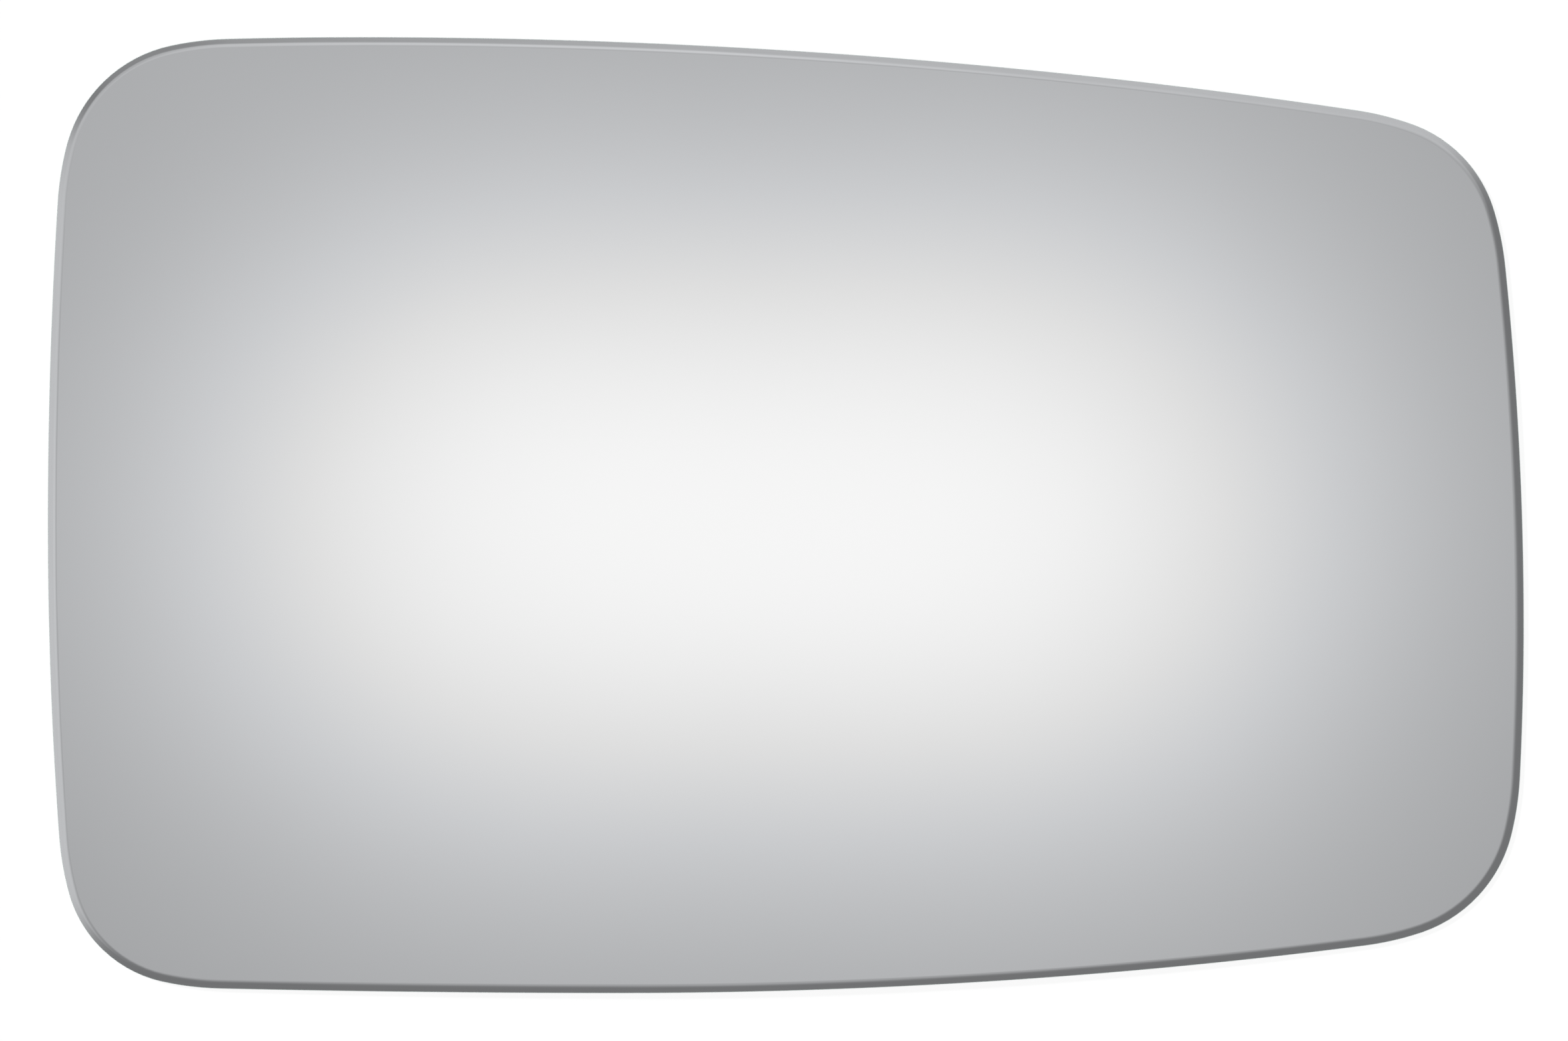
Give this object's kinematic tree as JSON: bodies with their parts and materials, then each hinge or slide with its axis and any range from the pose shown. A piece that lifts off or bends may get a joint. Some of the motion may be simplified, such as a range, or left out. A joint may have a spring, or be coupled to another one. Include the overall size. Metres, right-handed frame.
{
  "type": "car door mirror glass",
  "caption": "Gently domed door mirror glass with a rounded, tapering outline and a narrow ground bevel, silvered to show the road behind a car.",
  "frame": {"origin": "middle of the overall width and height, at the level of the lowest points of the rim, where the glass rests on a flat surface with its mirror face up", "axes": "+Z out of the mirror face, +X to the right and +Y to the top of the glass as it is looked into; the outline tapers towards +X"},
  "size_m": [0.17, 0.11, 0.0051],
  "materials": {
    "silvered_glass": "silvered clear sheet glass, polished face, fine-ground bevel and edge, grey lacquered back"
  },
  "bodies": {
    "root": {"mirror_glass": "silvered_glass"}
  },
  "joints": []
}
